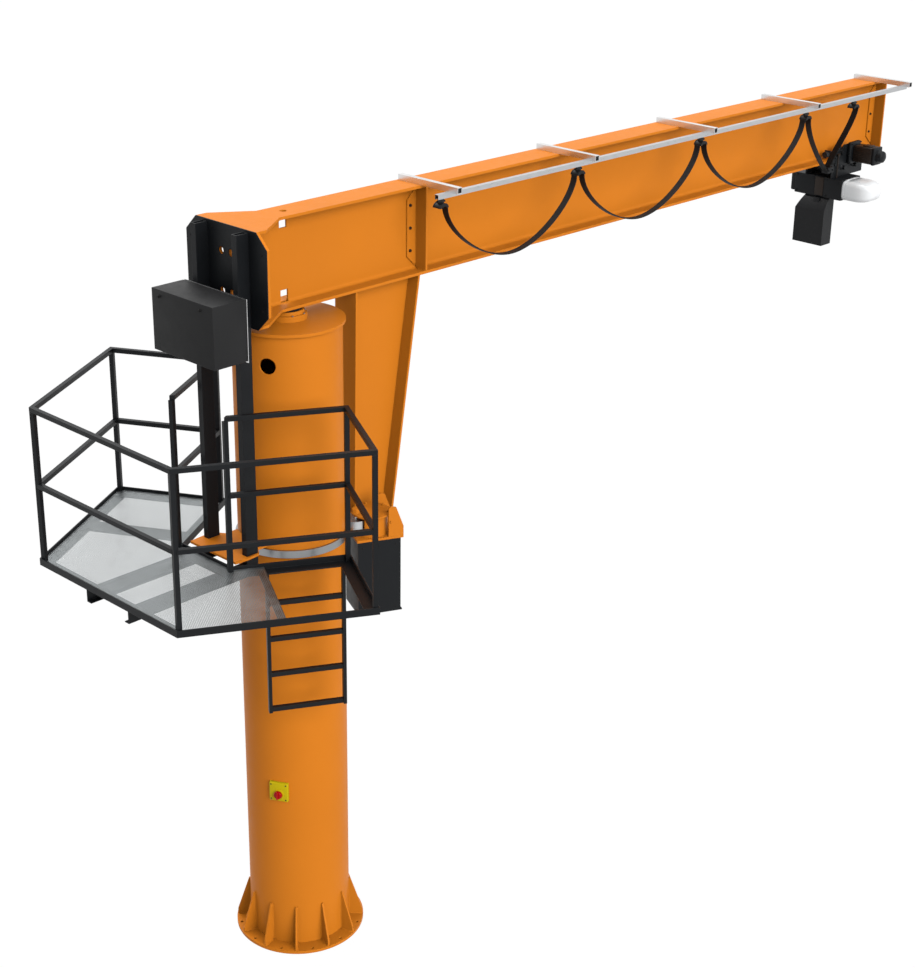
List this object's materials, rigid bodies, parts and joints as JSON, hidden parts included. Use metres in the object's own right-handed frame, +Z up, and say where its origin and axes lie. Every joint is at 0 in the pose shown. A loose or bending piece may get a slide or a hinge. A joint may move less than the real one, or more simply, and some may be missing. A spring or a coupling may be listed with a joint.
{
  "type": "pillar jib crane",
  "caption": "Tall round pillar with a slewing I-beam boom, braced leg, chain hoist trolley, looped cable line, rear access platform with ladder, and control cabinet.",
  "frame": {"origin": "column axis at the underside of the base plate", "axes": "+X along the boom towards its tip, +Z up, +Y to the side away from the festoon line"},
  "size_m": [8.191, 2.5858, 5.23],
  "materials": {
    "orange_paint": "satin orange powder coat",
    "bright_steel": "machined steel",
    "pale_steel": "galvanised steel",
    "black_paint": "satin black powder coat",
    "cabinet_paint": "fine textured dark grey paint",
    "grating": "fine woven mesh",
    "yellow_plastic": "moulded yellow",
    "red_plastic": "moulded red",
    "black_plastic": "moulded black",
    "cable_rubber": "matt black sheath",
    "buffer_rubber": "moulded buffer",
    "motor_paint": "satin dark brown",
    "pale_paint": "satin pale grey"
  },
  "bodies": {
    "column": {"base_plate": "orange_paint", "base_gussets": "orange_paint", "column_tube": "orange_paint", "slew_ring": "bright_steel", "column_cap": "orange_paint", "pivot_flange": "orange_paint", "main_switch_box": "yellow_plastic"},
    "switch_knob": {"switch_knob": "red_plastic"},
    "jib": {"jib_beam": "orange_paint", "end_plate": "orange_paint", "rail_mount_plate": "black_paint", "wing_plates": "orange_paint", "web_stiffeners": "orange_paint", "web_doublers": "orange_paint", "leg_web": "orange_paint", "leg_flanges": "orange_paint", "foot_plate": "orange_paint", "pivot_bearing": "black_paint", "roller_housings": "orange_paint", "carriage_cheeks": "orange_paint", "guide_rollers": "bright_steel", "roller_axles": "bright_steel", "drive_cover": "black_paint", "rear_rails": "black_paint", "cabinet": "cabinet_paint", "cabinet_back": "pale_steel", "rear_bracket": "orange_paint", "platform_beams": "black_paint", "platform_frame": "black_paint", "platform_floor": "grating", "handrail_posts": "black_paint", "handrail_top": "black_paint", "handrail_mid": "black_paint", "ladder_stiles": "black_paint", "ladder_rungs": "black_paint", "festoon_arms": "pale_steel", "festoon_rail": "bright_steel", "cable_end_clamp": "black_plastic", "cable_loop_1": "cable_rubber"},
    "cable_trolley_2": {"cable_trolley_2": "black_plastic", "cable_loop_2": "cable_rubber"},
    "cable_trolley_3": {"cable_trolley_3": "black_plastic", "cable_loop_3": "cable_rubber"},
    "cable_trolley_4": {"cable_trolley_4": "black_plastic", "cable_loop_4": "cable_rubber"},
    "trolley": {"cable_trolley_5": "black_plastic", "cable_loop_5": "cable_rubber", "trolley_plates": "black_paint", "trolley_wheels": "bright_steel", "trolley_bars": "bright_steel", "travel_motor": "motor_paint", "trolley_buffers": "buffer_rubber", "hoist_hanger": "black_paint", "hoist_body": "black_paint", "hoist_motor": "pale_paint", "chain_container": "black_paint", "cable_clamp": "black_paint", "lift_chain": "bright_steel", "hook": "black_paint"}
  },
  "joints": [
    {"name": "slew", "type": "hinge", "parent": "column", "child": "jib", "pos_m": [0, 0, 4.548], "axis": [0, 0, 1], "range_deg": [-135, 135]},
    {"name": "trolley_travel", "type": "slide", "parent": "jib", "child": "trolley", "axis": [1, 0, 0], "range_m": [-4.35, 0], "deforming": ["cable_loop_4"]},
    {"name": "cable_trolley_2_travel", "type": "slide", "parent": "jib", "child": "cable_trolley_2", "axis": [1, 0, 0], "range_m": [-1.2328, 0], "deforming": ["cable_loop_1"]},
    {"name": "cable_trolley_3_travel", "type": "slide", "parent": "jib", "child": "cable_trolley_3", "axis": [1, 0, 0], "range_m": [-2.5135, 0], "deforming": ["cable_loop_2"]},
    {"name": "cable_trolley_4_travel", "type": "slide", "parent": "jib", "child": "cable_trolley_4", "axis": [1, 0, 0], "range_m": [-3.7685, 0], "deforming": ["cable_loop_3"]},
    {"name": "switch_turn", "type": "hinge", "parent": "column", "child": "switch_knob", "pos_m": [-0.3571, -0.1963, 1.245], "axis": [-0.8763, -0.4817, 0], "range_deg": [0, 90]}
  ],
  "couplings": [
    {"joint": "cable_trolley_2_travel", "follows": "trolley_travel", "ratio": 0.2834},
    {"joint": "cable_trolley_3_travel", "follows": "trolley_travel", "ratio": 0.5778},
    {"joint": "cable_trolley_4_travel", "follows": "trolley_travel", "ratio": 0.8663}
  ]
}
